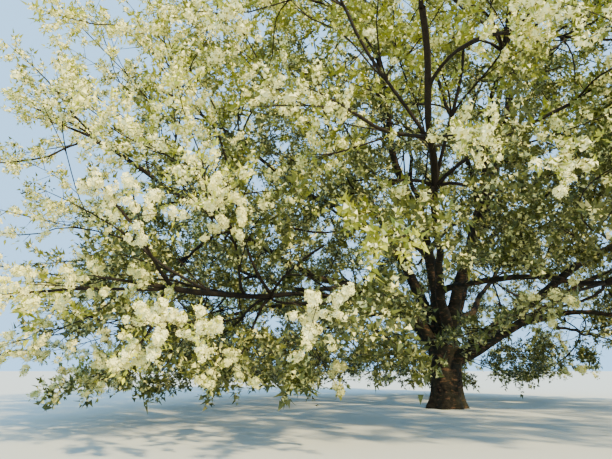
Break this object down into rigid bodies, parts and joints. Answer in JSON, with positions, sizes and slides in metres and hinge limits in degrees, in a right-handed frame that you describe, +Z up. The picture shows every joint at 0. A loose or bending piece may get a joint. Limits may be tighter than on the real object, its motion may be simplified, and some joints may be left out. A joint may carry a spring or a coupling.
{
  "type": "cherry blossom tree",
  "caption": "Large spreading cherry tree in white blossom, with a short trunk that forks low and a domed crown that sweeps nearly to the ground.",
  "frame": {"origin": "middle of the flat cut under the trunk, at ground level", "axes": "+Z up, +X to the right and -Y towards someone who faces the tree's front"},
  "size_m": [19.2186, 19.3349, 13.4329],
  "materials": {
    "bark": "rough, cracked",
    "foliage": "matt"
  },
  "bodies": {
    "root": {"trunk": "bark", "bough_middle_1": "bark", "bough_middle_2": "bark", "bough_middle_3": "bark", "bough_middle_4": "bark", "bough_middle_5": "bark", "bough_middle_6": "bark", "bough_middle_7": "bark", "bough_upper_1": "bark", "bough_upper_2": "bark", "bough_upper_3": "bark", "bough_upper_4": "bark", "bough_upper_5": "bark", "bough_skirt_1": "bark", "bough_skirt_2": "bark", "bough_skirt_3": "bark", "bough_skirt_4": "bark", "bough_skirt_5": "bark", "bough_skirt_6": "bark", "bough_skirt_7": "bark", "bough_shoulder_1": "bark", "bough_shoulder_2": "bark", "bough_shoulder_3": "bark", "bough_shoulder_4": "bark", "bough_shoulder_5": "bark", "bough_top": "bark", "foliage_middle_1": "foliage", "foliage_middle_2": "foliage", "foliage_middle_3": "foliage", "foliage_middle_4": "foliage", "foliage_middle_5": "foliage", "foliage_middle_6": "foliage", "foliage_middle_7": "foliage", "foliage_upper_1": "foliage", "foliage_upper_2": "foliage", "foliage_upper_3": "foliage", "foliage_upper_4": "foliage", "foliage_upper_5": "foliage", "foliage_skirt_1": "foliage", "foliage_skirt_2": "foliage", "foliage_skirt_3": "foliage", "foliage_skirt_4": "foliage", "foliage_skirt_5": "foliage", "foliage_skirt_6": "foliage", "foliage_skirt_7": "foliage", "foliage_shoulder_1": "foliage", "foliage_shoulder_2": "foliage", "foliage_shoulder_3": "foliage", "foliage_shoulder_4": "foliage", "foliage_shoulder_5": "foliage", "foliage_top": "foliage"}
  },
  "joints": []
}
